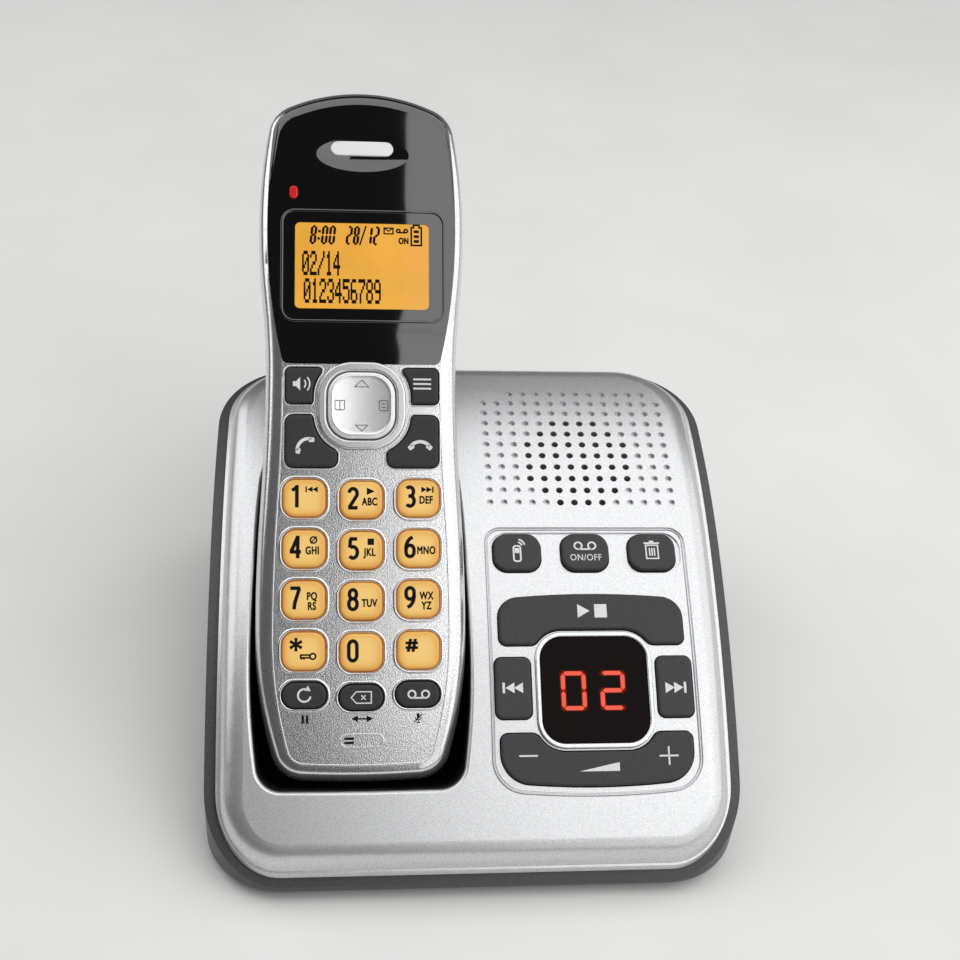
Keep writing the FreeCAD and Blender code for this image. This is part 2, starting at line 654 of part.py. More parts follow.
def handsetPieces():
    body = handsetBody()
    pieces = {
        "handset_front_housing": frontShell(body), "handset_back_housing": backShell(body),
        "battery_door": batteryDoor(body), "face_lens": lens(body)}
    pieces["earpiece_insert"] = filletWhere(prism(earpieceFace(), -lensDepth, -0.2), 0.3, liesAt(-0.2))
    pieces["message_lamp"] = filletWhere(prism(lampFace(), -3.0, 0.3), 0.3, liesAt(0.3))
    pieces["lcd_module"] = prism(lcdFace(), -lensDepth, -0.15)
    ring = prism(navRingFace(), -shellWall, 0.9).cut(prism(navKeyFace(keyGap), -6, 4))
    pieces["nav_ring"] = filletWhere(ring, 0.5, liesAt(0.9))
    pieces["keypad_mat"] = prism(roundedRect(38.0, 78.0, 3.0, (0, 8.5)), -5.2, -4.2)
    pieces["handset_circuit_board"] = prism(roundedRect(38.0, 139.0, 4.0, (0, 34.0)), -6.9, -5.7)
    pieces["receiver"] = Part.makeCylinder(6.5, 3.0, Vector(0, 101.6, -5.4))
    pieces["microphone"] = Part.makeCylinder(3.0, 3.0, Vector(-2.6, -38.2, -5.4))
    pieces["battery_pack"] = batteryPack()
    pieces["charge_pad_left"] = contactBlock(-1, 6, 4, 0.5, 1.3)
    pieces["charge_pad_right"] = contactBlock(1, 6, 4, 0.5, 1.3)
    for name, (face, x, v) in handsetKeys.items():
        pieces[name] = keyCap(face(), keyProud, shellWall + 0.1, 0.6).translated(Vector(x, v, 0))
    pieces["nav_key"] = keyCap(navKeyFace(), 1.3, shellWall + 0.6, 0.6)
    pieces["nav_rocker"] = Part.makeCylinder(2.5, 0.45, Vector(0, navCentre, -4.05))
    return {name: placed(shape, handsetFrame) for name, shape in pieces.items()}


def batteryPack():
    """Two AAA cells side by side in one wrapper."""
    cells = [Part.makeCylinder(5.25, 44.0, Vector(x, 46.0, -14.5), Y) for x in (-5.3, 5.3)]
    wrapper = Part.makeBox(10.6, 44.0, 10.0, Vector(-5.3, 46.0, -19.5))
    return cells[0].fuse(cells[1]).fuse(wrapper).removeSplitter()


# ---------------------------------------------------------------- export
def allPieces():
    pieces = basePieces()
    pieces.update(handsetPieces())
    return pieces


def centring(pieces):
    """Moves the origin to the middle of the underside of the whole box."""
    box = FreeCAD.BoundBox()
    for shape in pieces.values():
        box.add(shape.optimalBoundingBox(False))
    return Vector(-(box.XMin + box.XMax) / 2, -(box.YMin + box.YMax) / 2, -box.ZMin)


os.makedirs("parts", exist_ok=True)
allShapes = allPieces()
originShift = centring(allShapes)
for name, shape in allShapes.items():
    moved = shape.translated(originShift)
    assert moved.isValid(), name
    moved.exportStep("parts/" + name + ".step")
print(len(allShapes), "pieces, origin shift", originShift)
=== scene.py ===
import math
import bpy
from mathutils.bvhtree import BVHTree
from mathutils import Matrix, Vector


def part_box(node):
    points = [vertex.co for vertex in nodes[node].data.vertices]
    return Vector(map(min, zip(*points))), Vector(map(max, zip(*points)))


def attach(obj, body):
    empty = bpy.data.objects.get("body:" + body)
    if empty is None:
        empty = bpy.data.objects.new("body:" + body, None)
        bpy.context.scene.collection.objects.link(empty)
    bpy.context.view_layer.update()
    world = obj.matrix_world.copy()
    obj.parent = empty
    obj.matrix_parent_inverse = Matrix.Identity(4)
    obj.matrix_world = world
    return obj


# Finishes, lit displays, printed signs and thin trim of an answering machine and its handset.
# A shape is (points, faces), in millimetres, in the plane of the piece that it lies on.

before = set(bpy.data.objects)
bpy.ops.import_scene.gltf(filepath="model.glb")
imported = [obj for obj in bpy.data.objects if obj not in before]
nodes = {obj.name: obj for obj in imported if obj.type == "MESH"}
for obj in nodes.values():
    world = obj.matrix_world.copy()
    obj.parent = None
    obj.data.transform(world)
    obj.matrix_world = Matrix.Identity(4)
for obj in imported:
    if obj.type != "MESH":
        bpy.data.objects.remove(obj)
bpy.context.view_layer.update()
mm = 0.001
print("frame loaded:", len(nodes), "nodes")


# where things are: the same driving values as the model, in millimetres and degrees
layout = {
    "feetMiddle": (0.35, -13.0),           # gives the model's shift across and along the table
    "tableHeight": -54.7,
    "handsetDatum": (-26.41, -24.17, -1.08), "handsetLean": 44.0,
    "frontArcRadius": 268.0, "rearArcRadius": 166.0, "arcJointRun": -10.0, "arcJointSlope": 22.3,
    "keyProud": 0.9, "navKeyProud": 1.3, "navCentre": 39.4,
    "keyPitchX": 13.2, "keyPitchY": 11.76, "middleDrop": 0.42,
    "keyWidth": 9.7, "keyHeight": 8.55,
    "panelX": 28.1, "displayRun": -47.9}
inkLift = 0.03                             # a printed sign stands this far above its key

feetLow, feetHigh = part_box("rubber_feet")
feetX, feetY = layout["feetMiddle"]
shift = Vector(((feetLow.x + feetHigh.x) / 2 / mm - feetX, (feetLow.y + feetHigh.y) / 2 / mm - feetY,
                -layout["tableHeight"]))


def slopeAt(run):
    radius = layout["frontArcRadius"] if run < layout["arcJointRun"] else layout["rearArcRadius"]
    return math.radians(layout["arcJointSlope"]) + (layout["arcJointRun"] - run) / radius


def upFrom(slope):
    return Vector((0, -math.sin(slope), math.cos(slope)))


def surfacePoint(run):
    joint = upFrom(math.radians(layout["arcJointSlope"]))
    rearCentre = upFrom(slopeAt(0)) * -layout["rearArcRadius"]
    if run >= layout["arcJointRun"]:
        return rearCentre + upFrom(slopeAt(run)) * layout["rearArcRadius"]
    frontCentre = rearCentre + joint * (layout["rearArcRadius"] - layout["frontArcRadius"])
    return frontCentre + upFrom(slopeAt(run)) * layout["frontArcRadius"]


def onBase(x, run, lift=0.0):              # X across, Y up the slope, Z out of the top surface
    origin = surfacePoint(run) + Vector((x, 0, 0)) + shift
    return (Matrix.Scale(mm, 4) @ Matrix.Translation(origin)
            @ Matrix.Rotation(slopeAt(run), 4, "X") @ Matrix.Translation((0, 0, lift)))


def onHandset(x=0.0, v=0.0, lift=0.0):     # X across, Y up the handset, Z out of its face
    return (Matrix.Scale(mm, 4) @ Matrix.Translation(Vector(layout["handsetDatum"]) + shift)
            @ Matrix.Rotation(math.radians(layout["handsetLean"]), 4, "X") @ Matrix.Translation((x, v, lift)))


# shapes
def arc(centre, radius, start, stop, steps=16, squash=1.0):      # degrees, anticlockwise
    angles = [math.radians(start + (stop - start) * i / steps) for i in range(steps + 1)]
    return [(centre[0] + radius * math.cos(a), centre[1] + radius * squash * math.sin(a)) for a in angles]


def roundedLine(width, height, radius, centre=(0, 0), steps=8):
    w, h = width / 2 - radius, height / 2 - radius
    corners = [((w, -h), -90), ((w, h), 0), ((-w, h), 90), ((-w, -h), 180)]
    return [p for (x, y), start in corners
            for p in arc((centre[0] + x, centre[1] + y), radius, start, start + 90, steps)]


def circleLine(centre, radius, steps=32):
    return arc(centre, radius, 0, 360 - 360 / steps, steps - 1)


def area(outline):
    return [(x, y, 0) for x, y in outline], [tuple(range(len(outline)))]


def merged(*shapes):
    points, faces = [], []
    for shape in shapes:
        faces += [tuple(i + len(points) for i in face) for face in shape[1]]
        points += shape[0]
    return points, faces


def sweep(line, section, closed=True):     # section: (outwards, up) pairs, carried along a line
    count = len(line)
    points = []
    for i, (x, y) in enumerate(line):
        before = line[i - 1] if closed or i else line[0]
        after = line[(i + 1) % count] if closed or i < count - 1 else line[-1]
        a, b = Vector((x - before[0], y - before[1])), Vector((after[0] - x, after[1] - y))
        a, b = (a if a.length else b).normalized(), (b if b.length else a).normalized()
        along = (a + b).normalized()
        mitre = 1 / max(0.5, along.dot(b))
        points += [(x + along.y * out * mitre, y - along.x * out * mitre, up) for out, up in section]
    step = len(section)
    lengths = range(count if closed else count - 1)
    faces = [(i * step + j, (i + 1) % count * step + j, (i + 1) % count * step + j + 1, i * step + j + 1)
             for i in lengths for j in range(step - 1)]
    return points, faces


def line(points, width, closed=False):
    return sweep(points, [(-width / 2, 0), (width / 2, 0)], closed)


def bar(width, height, centre=(0, 0)):
    x, y = centre
    w, h = width / 2, height / 2
    return area([(x - w, y - h), (x + w, y - h), (x + w, y + h), (x - w, y + h)])


def arrowhead(width, height, centre=(0, 0), turn=0.0):           # points along +X before the turn
    w, h = width / 2, height / 2
    return moved(turned(area([(-w, -h), (w, 0), (-w, h)]), turn), centre)


def moved(shape, by):
    return [(x + by[0], y + by[1], z) for x, y, z in shape[0]], shape[1]


def turned(shape, degrees):
    c, s = math.cos(math.radians(degrees)), math.sin(math.radians(degrees))
    return [(c * x - s * y, s * x + c * y, z) for x, y, z in shape[0]], shape[1]


def flipped(shape):
    return [(-x, y, z) for x, y, z in shape[0]], [face[::-1] for face in shape[1]]


def bolder(shape, width):                  # adds a stroke along every outer edge of a filled shape
    overlap = 0.35                         # share of the width by which neighbouring strokes overlap
    points, faces = shape
    edges = {}
    for face in faces:
        for i, j in zip(face, face[1:] + face[:1]):
            edges[min(i, j), max(i, j)] = edges.get((min(i, j), max(i, j)), 0) + 1
    strokes = []
    for (i, j), uses in edges.items():
        a, b = Vector(points[i][:2]), Vector(points[j][:2])
        if uses == 1 and (b - a).length > 1e-6:
            more = (b - a).normalized() * width * overlap
            strokes.append(line([tuple(a - more), tuple(b + more)], width))
    return merged(shape, *strokes)


glyphs = {}


def glyph(text):                           # filled outlines of the plain built-in font, spaced a little wider
    if text not in glyphs:
        curve = bpy.data.curves.new("glyph", "FONT")
        curve.body = text
        curve.space_character = 1.1
        holder = bpy.data.objects.new("glyph", curve)
        mesh = bpy.data.meshes.new_from_object(holder)
        glyphs[text] = [tuple(v.co) for v in mesh.vertices], [tuple(p.vertices) for p in mesh.polygons]
        bpy.data.objects.remove(holder)
        bpy.data.curves.remove(curve)
        bpy.data.meshes.remove(mesh)
    return glyphs[text]


def letters(text, height, centre=(0, 0), weight=0.16, squeeze=0.70):    # weight: stroke added, in mm
    points, faces = glyph(text)
    capitals = [p[1] for p in glyph("E")[0]]
    scale = (height - weight) / (max(capitals) - min(capitals))
    middleX = (max(p[0] for p in points) + min(p[0] for p in points)) / 2
    middleY = (max(capitals) + min(capitals)) / 2
    placed = [((x - middleX) * scale * squeeze, (y - middleY) * scale, 0) for x, y, z in points]
    return moved(bolder((placed, faces), weight), centre)


def digit(label, width, height, stroke, centre=(0, 0)):          # bold numeral, drawn in a box 1 wide, 2 tall
    top, foot = 2.0 + stroke / height, -stroke / height          # an upright runs on by about half a stroke
    upended = lambda points: [(-x, 2.0 - y) for x, y in points]
    bowl = roundedLine(1.0, 1.16, 0.48, (0, 0.58))
    hook = [(-0.5, 0.6), (-0.5, 0.95), (-0.43, 1.28), (-0.27, 1.58), (-0.02, 1.84), (0.34, 2.0)]
    rings = {"0": [roundedLine(1.0, 2.0, 0.5, (0, 1.0))], "6": [bowl],
             "8": [roundedLine(0.86, 0.92, 0.42, (0, 1.54)), roundedLine(1.0, 1.08, 0.48, (0, 0.54))],
             "9": [upended(bowl)]}
    strokes = {
        "1": [[(0.12, top), (0.12, foot)], [(-0.5, 1.6), (-0.2, 1.74), (0.12, 1.96)]],
        "2": [arc((0, 1.48), 0.5, 172, -30, 14) + [(-0.46, 0.06)], [(-0.62, 0.0), (0.56, 0.0)]],
        "3": [arc((-0.02, 1.5), 0.48, 140, -80, 14) + [(-0.2, 1.04)], arc((0, 0.53), 0.53, 78, -140, 16)],
        "4": [[(0.26, top), (0.26, foot)], [(0.22, 2.0), (-0.56, 0.5)], [(-0.72, 0.5), (0.66, 0.5)]],
        "5": [[(0.52, 2.0), (-0.44, 2.0)], [(-0.32, 2.0), (-0.4, 1.1)],
              arc((0, 0.62), 0.54, 128, -140, 18, 1.08)],
        "6": [hook],
        "7": [[(-0.62, 2.0), (0.6, 2.0)], [(0.5, 2.0), (0.16, 1.1), (-0.06, 0.5), (-0.16, foot)]],
        "9": [upended(hook)]}
    scaleX, scaleY = width - stroke, (height - stroke) / 2
    fit = lambda points: [(x * scaleX, (y - 1) * scaleY) for x, y in points]
    shapes = [line(fit(points), stroke, True) for points in rings.get(label, [])]
    shapes += [line(fit(points), stroke) for points in strokes.get(label, [])]
    return moved(merged(*shapes), centre)


# pieces
def piece(name, shape, place, material, body, smooth=False):
    mesh = bpy.data.meshes.new(name)
    mesh.from_pydata([place @ Vector(p) for p in shape[0]], [], shape[1])
    mesh.materials.append(material)
    mesh.validate()
    if smooth:
        mesh.shade_smooth()
    result = bpy.data.objects.new(name, mesh)
    bpy.context.scene.collection.objects.link(result)
    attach(result, body)
    return result


# materials
def linear(colour):                        # sRGB hex to linear
    channels = [int(colour[i:i + 2], 16) / 255 for i in (1, 3, 5)]
    return [c / 12.92 if c <= 0.04045 else ((c + 0.055) / 1.055) ** 2.4 for c in channels] + [1.0]


def addNode(tree, kind, inputs=None, stops=None, **settings):    # stops: (position, hex) pairs of a ramp
    node = tree.nodes.new("ShaderNode" + kind)
    for name, value in settings.items():
        setattr(node, name, value)
    for socket, value in (inputs or {}).items():
        if isinstance(value, bpy.types.NodeSocket):
            tree.links.new(value, node.inputs[socket])
        else:
            node.inputs[socket].default_value = value
    if stops:
        for element, (position, colour) in zip(node.color_ramp.elements, (stops[0], stops[-1])):
            element.position, element.color = position, linear(colour)
        for position, colour in stops[1:-1]:
            node.color_ramp.elements.new(position).color = linear(colour)
    return node


def surface(name, **sockets):              # a socket's name is written with _ for each space
    material = bpy.data.materials.new(name)
    material.use_nodes = True
    shader = material.node_tree.nodes["Principled BSDF"]
    for socket, value in sockets.items():
        shader.inputs[socket.replace("_", " ")].default_value = value
    return material, material.node_tree, shader


def mottle(tree, socket, size, dark, light, detail=2.0):         # soft blotches, size in mm
    stops = ((0.3, dark), (0.7, light))
    place = addNode(tree, "TexCoord").outputs["Object"]
    blotch = addNode(tree, "TexNoise", {"Vector": place, "Scale": 1 / (size * mm), "Detail": detail})
    ramp = addNode(tree, "ValToRGB", {"Fac": blotch.outputs["Fac"]}, stops)
    tree.links.new(ramp.outputs["Color"], socket)


def grain(tree, shader, size, depth, strength=1.0):              # a fine rough skin, size and depth in mm
    place = addNode(tree, "TexCoord").outputs["Object"]
    height = addNode(tree, "TexNoise", {"Vector": place, "Scale": 1 / (size * mm)}).outputs["Fac"]
    bump = addNode(tree, "Bump", {"Height": height, "Distance": depth * mm, "Strength": strength})
    tree.links.new(bump.outputs["Normal"], shader.inputs["Normal"])
    return height


def silverPaintedAbs(name, dark, light, metallic, roughness, grainAmount, edgeAmount=None, facing=None):
    # aluminium-flake lacquer sprayed over moulded ABS: a soft metallic sheen and a fine grain.
    # The real flake is too fine to show, so it is drawn coarser.
    values = {"index": 1.5, "flake": 0.30, "detail": 1.0, "grain": 0.30, "depth": 0.035, "flatFrom": 0.955}
    material, tree, shader = surface(name, Metallic=metallic, Roughness=roughness, IOR=values["index"])
    mottle(tree, shader.inputs["Base Color"], values["flake"], dark, light, values["detail"])
    amount = grainAmount
    if facing:                             # the rounded edges of the handset are smoother than its face
        normal = addNode(tree, "NewGeometry").outputs["Normal"]
        turn = addNode(tree, "VectorMath", {0: normal, 1: facing}, operation="DOT_PRODUCT").outputs["Value"]
        spread = addNode(tree, "MapRange", {"Value": turn, "From Min": values["flatFrom"],
                                            "To Min": edgeAmount, "To Max": grainAmount})
        amount = spread.outputs["Result"]
    grain(tree, shader, values["grain"], values["depth"], amount)
    return material


def satinChrome():
    # satin metallised ABS: brighter and tighter highlights than the painted cover
    values = {"dark": "#d2d3d5", "light": "#e2e3e4", "roughness": 0.24, "metallic": 0.85, "grain": 0.3,
              "depth": 0.008, "bump": 0.4}
    material, tree, shader = surface("satinMetallisedAbs", Metallic=values["metallic"],
                                     Roughness=values["roughness"])
    mottle(tree, shader.inputs["Base Color"], values["grain"], values["dark"], values["light"])
    grain(tree, shader, values["grain"], values["depth"], values["bump"])
    return material


def pearlPaintedAbs(name, metallic, roughness):
    # pearl lacquer over moulded ABS: pale and even, with more or less metal in it
    values = {"dark": "#ececed", "light": "#f8f8f8", "grain": 0.3, "depth": 0.012, "bump": 0.4}
    material, tree, shader = surface(name, Metallic=metallic, Roughness=roughness)
    mottle(tree, shader.inputs["Base Color"], values["grain"], values["dark"], values["light"])
    grain(tree, shader, values["grain"], values["depth"], values["bump"])
    return material


def mouldedAbs(name, dark, light, roughness, size=0.5, depth=0.02):
    # injection-moulded ABS with a fine etched texture: flat broad sheen, faint mottling
    values = {"index": 1.53, "bump": 0.5}
    material, tree, shader = surface(name, Roughness=roughness, IOR=values["index"])
    mottle(tree, shader.inputs["Base Color"], size, dark, light)
    grain(tree, shader, size, depth, values["bump"])
    return material


def siliconeRubber(name, dark, light):
    # moulded silicone keys: matt charcoal with a pale speckle
    values = {"index": 1.41, "speck": 0.28, "detail": 1.0, "roughness": 0.62, "depth": 0.012, "bump": 0.4}
    material, tree, shader = surface(name, Roughness=values["roughness"], IOR=values["index"])
    mottle(tree, shader.inputs["Base Color"], values["speck"], dark, light, values["detail"])
    grain(tree, shader, values["speck"], values["depth"], values["bump"])
    return material


def clearWindow(name, colour, index, shine, ripple, roughness=0.02):
    # moulded clear plastic over black: a mirror-like skin that ripples slightly, with faint uneven gloss
    values = {"waveLength": 30.0, "uneven": 0.015}
    material, tree, shader = surface(name, Base_Color=linear(colour), IOR=index, Specular_IOR_Level=shine)
    wave = grain(tree, shader, values["waveLength"], ripple)
    spread = addNode(tree, "MapRange", {"Value": wave, "To Min": roughness,
                                        "To Max": roughness + values["uneven"]})
    tree.links.new(spread.outputs["Result"], shader.inputs["Roughness"])
    return material


def backlitKeyPaintedShade():
    # moulded amber acrylic keys lit from behind, with painted shade: paler in the middle and darker towards
    # the rim, painted into both the colour and the glow.
    # The grid of the keypad gives each key its own middle.
    values = {"stops": ((0.0, "#ecc374"), (0.12, "#e2b05a"), (0.38, "#cd8837"), (0.68, "#9c591a")),
              "glow": 0.24, "index": 1.49, "roughness": 0.34, "grain": 1.2, "depth": 0.004, "bump": 0.3}
    material, tree, shader = surface("amberAcrylicPaintedShade", Roughness=values["roughness"], IOR=values["index"],
                                     Emission_Strength=values["glow"])
    place = addNode(tree, "TexCoord").outputs["Object"]
    origin = (Vector(layout["handsetDatum"]) + shift) * mm
    grid = addNode(tree, "Mapping", {"Vector": place, "Location": origin,
                                     "Rotation": (math.radians(layout["handsetLean"]), 0, 0),
                                     "Scale": (layout["keyPitchX"] * mm, layout["keyPitchY"] * mm, mm)},
                   vector_type="TEXTURE")
    cell = addNode(tree, "VectorMath", {0: grid.outputs[0], 1: (0.5, 0, 0)}, operation="ADD")
    part = addNode(tree, "VectorMath", {0: cell.outputs[0]}, operation="FRACTION")
    centred = addNode(tree, "VectorMath", {0: part.outputs[0], 1: (0.5, 0.5, 0.5)}, operation="SUBTRACT")
    wide = addNode(tree, "VectorMath", {0: centred.outputs[0], 1: (2.0, 2.0, 0)}, operation="MULTIPLY")
    squared = addNode(tree, "VectorMath", {0: wide.outputs[0], 1: wide.outputs[0]}, operation="MULTIPLY")
    reach = addNode(tree, "VectorMath", {0: squared.outputs[0], 1: squared.outputs[0]},
                    operation="DOT_PRODUCT")
    # painted shade: the ramp darkens each key from its middle towards its rim
    ramp = addNode(tree, "ValToRGB", {"Fac": reach.outputs["Value"]}, values["stops"])
    for socket in ("Base Color", "Emission Color"):
        tree.links.new(ramp.outputs["Color"], shader.inputs[socket])
    grain(tree, shader, values["grain"], values["depth"], values["bump"])
    return material


def glowing(name, low, colour, strength, base="#1a0c06", roughness=0.3, coat=0.0):
    # moulded light guide lit from behind: a glow of even colour with a trace of unevenness
    values = {"coatRoughness": 0.03, "unevenness": 9.0}
    material, tree, shader = surface(name, Base_Color=linear(base), Roughness=roughness, Coat_Weight=coat,
                                     Coat_Roughness=values["coatRoughness"], Emission_Strength=strength)
    mottle(tree, shader.inputs["Emission Color"], values["unevenness"], low, colour)
    return material


def printedInk(name, dark, light, roughness=0.5, shine=0.5):
    # pad-printed ink: a thin flat film with slightly uneven cover
    values = {"unevenness": 0.4}
    material, tree, shader = surface(name, Roughness=roughness, Specular_IOR_Level=shine)
    mottle(tree, shader.inputs["Base Color"], values["unevenness"], dark, light)
    return material


def nickelPlate():
    # bright nickel over steel strip: a slightly warm metal with a very fine grain
    values = {"colour": "#d9d4c8", "roughness": 0.2, "grain": 0.15, "depth": 0.003, "bump": 0.4}
    material, tree, shader = surface("nickelPlate", Base_Color=linear(values["colour"]), Metallic=1.0,
                                     Roughness=values["roughness"])
    grain(tree, shader, values["grain"], values["depth"], values["bump"])
    return material


def haloFilm():
    # light that spreads in the smoked window round each lit segment, and fades outwards
    values = {"colour": "#ff3a1c", "strength": 0.6}
    material = bpy.data.materials.new("segmentHalo")
    material.use_nodes = True
    tree = material.node_tree
    tree.nodes.clear()
    near = addNode(tree, "Attribute", attribute_name="near")
    clear = addNode(tree, "BsdfTransparent")
    glow = addNode(tree, "Emission", {"Color": linear(values["colour"]), "Strength": values["strength"]})
    blend = addNode(tree, "MixShader", {0: near.outputs["Fac"], 1: clear.outputs[0], 2: glow.outputs[0]})
    addNode(tree, "OutputMaterial", {"Surface": blend.outputs[0]})
    return material


handsetUp = upFrom(math.radians(layout["handsetLean"]))
coverSilver = silverPaintedAbs("silverCoverLacquer", "#c9cacc", "#e2e3e4", 0.75, 0.30, 0.4)
faceSilver = silverPaintedAbs("silverFaceLacquer", "#cfd0d2", "#eff0f0", 0.90, 0.19, 0.58, 0.08, handsetUp)
pearl = pearlPaintedAbs("pearlLacquer", 0.28, 0.35)
brightPearl = pearlPaintedAbs("metallicPearlLacquer", 0.72, 0.26)
chrome = satinChrome()
greyAbs = mouldedAbs("greyMouldedAbs", "#3b3c3e", "#4a4b4d", 0.42)
blackAbs = mouldedAbs("blackMouldedAbs", "#141415", "#1d1d1f", 0.5)
keyRubber = siliconeRubber("charcoalSilicone", "#2c2c2d", "#39393b")
panelRubber = siliconeRubber("greySilicone", "#363638", "#444447")
footRubber = siliconeRubber("blackRubber", "#161617", "#222223")
blackWindow = clearWindow("blackPolycarbonate", "#020203", 1.585, 1.0, 0.09)
smokedWindow = clearWindow("smokedRedAcrylic", "#0e0404", 1.49, 0.06, 0.09, 0.12)      # anti-glare coat
amberKeys = backlitKeyPaintedShade()
amberLcd = glowing("amberLcdBacklight", "#eaa832", "#f5b138", 0.90, base="#3a2408", coat=0.2)
redLens = glowing("redLampAcrylic", "#b0181a", "#c01a1c", 0.55, base="#a01010", roughness=0.2)
redSegment = glowing("redLedSegment", "#f04c2a", "#f6522e", 0.95)
whiteInk = printedInk("whitePadPrint", "#dcdcda", "#f0f0ee")
blackInk = printedInk("blackPadPrint", "#0b0a09", "#141210", 0.6, 0.15)
lcdInk = printedInk("lcdSegment", "#120a03", "#1a1005", 0.6, 0.1)
etching = printedInk("etchedMark", "#5f6062", "#6e6f71", 0.55, 0.2)
boardMask = mouldedAbs("greenSolderMask", "#14502e", "#1c6238", 0.35)
wrapFilm = mouldedAbs("greenShrinkFilm", "#2c6b3a", "#357c44", 0.3, 3.0, 0.01)
speakerPaper = mouldedAbs("blackSpeakerPaper", "#19191a", "#242425", 0.8, 0.9, 0.06)
nickel = nickelPlate()
halo = haloFilm()

finishes = {       # pieces that carry each finish
    coverSilver: ["base_top_cover"], faceSilver: ["handset_front_housing"],
    chrome: ["display_frame", "nav_ring"], pearl: ["nav_key", "earpiece_insert"],
    greyAbs: ["base_bottom_housing", "handset_back_housing", "battery_door"],
    blackAbs: ["cradle_well", "power_jack", "line_jack", "nav_rocker", "microphone", "receiver"],
    footRubber: ["rubber_feet", "keypad_mat"],
    blackWindow: ["face_lens"], smokedWindow: ["display_window"],
    amberLcd: ["lcd_module"], redLens: ["message_lamp"],
    boardMask: ["base_circuit_board", "handset_circuit_board", "display_module"],
    speakerPaper: ["base_speaker"], wrapFilm: ["battery_pack"],
    nickel: ["charge_spring_left", "charge_spring_right", "charge_pad_left", "charge_pad_right"],
    amberKeys: ["key_" + name for name in "1 2 3 4 5 6 7 8 9 star 0 hash".split()],
    keyRubber: ["speaker_key", "menu_key", "talk_key", "end_key", "redial_key", "clear_key", "message_key"],
    panelRubber: ["find_button", "answer_button", "erase_button", "play_stop_button", "skip_back_button",
                  "skip_forward_button", "volume_rocker"]}
for material, names in finishes.items():
    for name in names:
        nodes[name].data.materials.clear()
        nodes[name].data.materials.append(material)
print("materials assigned:", len(finishes))


# signs
def tapeLoops(width, stroke, centre=(0, 0)):
    radius = width * 0.2
    offset = width / 2 - radius
    loops = [line(circleLine((x, 0), radius - stroke / 2), stroke, True) for x in (-offset, offset)]
    return moved(merged(*loops, bar(2 * offset, stroke, (0, -radius + stroke / 2))), centre)


def skipSign(width, height, centre=(0, 0), forward=True):
    stroke, head = width * 0.12, width * 0.44
    shape = merged(arrowhead(head, height, (head / 2 - width / 2, 0)),
                   arrowhead(head, height, (head * 1.45 - width / 2, 0)),
                   bar(stroke, height, (width / 2 - stroke / 2, 0)))
    return moved(shape if forward else flipped(shape), centre)


def waves(centre, radii, stroke, start, stop):
    return merged(*[line(arc(centre, radius, start, stop), stroke) for radius in radii])


def loudspeaker(size, centre=(0, 0)):
    h = size / 2
    cone = area([(-h, -h * 0.36), (-h * 0.55, -h * 0.36), (h * 0.05, -h), (h * 0.05, h),
                 (-h * 0.55, h * 0.36), (-h, h * 0.36)])
    return moved(merged(cone, waves((0, 0), (size * 0.42, size * 0.72), size * 0.1, -42, 42)), centre)


def handsetSign(size, turn, centre=(0, 0)):                      # arched handle with two cups
    handle = line(arc((0, -size * 0.42), size * 0.62, 38, 142), size * 0.17)
    cups = [moved(turned(area(roundedLine(size * 0.3, size * 0.24, size * 0.06)), tilt), (x, -size * 0.08))
            for x, tilt in ((-size * 0.46, 38), (size * 0.46, -38))]
    return moved(turned(merged(handle, *cups), turn), centre)


def binSign(size, centre=(0, 0)):
    stroke = size * 0.075
    body = line([(-size * 0.32, size * 0.26), (-size * 0.32, -size * 0.5), (size * 0.32, -size * 0.5),
                 (size * 0.32, size * 0.26)], stroke, True)
    ribs = [bar(stroke, size * 0.46, (x, -size * 0.12)) for x in (-size * 0.13, 0, size * 0.13)]
    lid = [bar(size * 0.84, stroke * 1.3, (0, size * 0.38)), bar(size * 0.24, stroke * 1.2, (0, size * 0.48))]
    return moved(merged(body, *ribs, *lid), centre)


def pageSign(size, centre=(0, 0)):                               # a small handset that sends out waves
    stroke = size * 0.075
    body = line(roundedLine(size * 0.3, size * 0.72, size * 0.1, (-size * 0.08, -size * 0.14)), stroke, True)
    screen = area(roundedLine(size * 0.2, size * 0.24, size * 0.03, (-size * 0.08, size * 0.0)))
    ringing = waves((-size * 0.06, size * 0.2), (size * 0.2, size * 0.33), stroke, 12, 78)
    return moved(merged(body, screen, ringing), centre)


def listSign(width, height, centre=(0, 0)):
    bars = [bar(width, height * 0.16, (0, y)) for y in (-height * 0.42, 0, height * 0.42)]
    return moved(merged(*bars), centre)


def redialSign(size, centre=(0, 0)):
    ring = line(arc((0, 0), size * 0.4, 60, 350), size * 0.12)
    return moved(merged(ring, arrowhead(size * 0.34, size * 0.4, (size * 0.26, size * 0.36), -35)), centre)


def deleteSign(width, height, centre=(0, 0)):
    w, h, stroke = width / 2, height / 2, height * 0.1
    box = line([(-w, 0), (-w * 0.5, -h), (w, -h), (w, h), (-w * 0.5, h)], stroke, True)
    cross = [turned(bar(height * 0.55, stroke), turn) for turn in (45, -45)]
    return moved(merged(box, *[moved(arm, (w * 0.22, 0)) for arm in cross]), centre)


def muteSign(size, centre=(0, 0)):
    stroke = size * 0.09
    head = area(roundedLine(size * 0.26, size * 0.5, size * 0.12, (0, size * 0.2)))
    holder = line(arc((0, size * 0.12), size * 0.28, 180, 360), stroke)
    stand = [bar(stroke, size * 0.2, (0, -size * 0.26)), bar(size * 0.34, stroke, (0, -size * 0.38))]
    return moved(merged(head, holder, *stand, turned(bar(size * 1.05, stroke), 45)), centre)


def intercomSign(width, height, centre=(0, 0)):
    reach = (width - height) / 2
    heads = [arrowhead(height, height, (x, 0), turn) for x, turn in ((-reach, 180), (reach, 0))]
    return moved(merged(bar(width - 1.6 * height, height * 0.22), *heads), centre)


